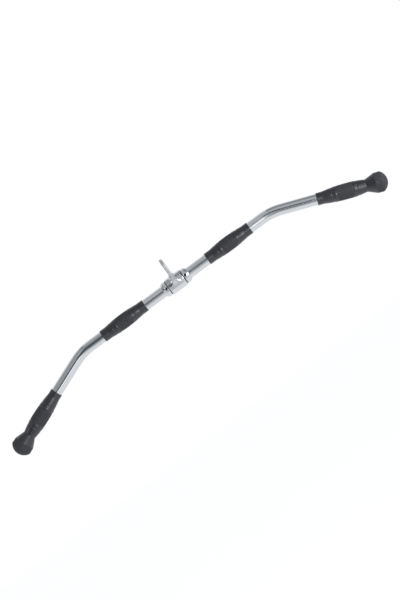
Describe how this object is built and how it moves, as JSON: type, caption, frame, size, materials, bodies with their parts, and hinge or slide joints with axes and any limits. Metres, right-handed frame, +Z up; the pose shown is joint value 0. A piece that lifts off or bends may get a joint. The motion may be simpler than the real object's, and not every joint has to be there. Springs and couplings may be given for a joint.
{
  "type": "lat pulldown bar",
  "caption": "Revolving lat pulldown bar: a bent chromed tube with rubber grips and knobbed ends, turning in a hub that hangs from a cable by its eye.",
  "frame": {"origin": "centre of the hole in the hub's eye, where the cable's hook pulls", "axes": "+X along the straight middle of the bar, to the right as the front is seen; +Z up, from the bar towards the eye's top and the cable; +Y away from the viewer; the arms droop towards -Z"},
  "size_m": [1.2036, 0.0546, 0.2056],
  "materials": {
    "chrome": "polished chrome plate",
    "cast_chrome": "chrome plate over a slightly uneven casting",
    "screw_steel": "black oxide",
    "bush_plastic": "dark moulded bearing plastic",
    "plug_plastic": "black moulded plastic",
    "grip_rubber": "charcoal moulded rubber, smooth cuffs and a finely textured middle"
  },
  "bodies": {
    "hub": {"swivel_housing": "cast_chrome", "bush_left": "bush_plastic", "bush_right": "bush_plastic", "bush_screw_left": "screw_steel", "bush_screw_right": "screw_steel"},
    "bar": {"bar_tube": "chrome", "collar_left": "chrome", "collar_right": "chrome", "collar_screw_left": "screw_steel", "collar_screw_right": "screw_steel", "mid_grip_left": "grip_rubber", "mid_grip_right": "grip_rubber", "end_grip_left": "grip_rubber", "end_grip_right": "grip_rubber", "tube_plug_left": "plug_plastic", "tube_plug_right": "plug_plastic"}
  },
  "joints": [
    {"name": "hub_swivel", "type": "hinge", "parent": "hub", "child": "bar", "pos_m": [0, 0, -0.051], "axis": [1, 0, 0], "continuous": true}
  ]
}
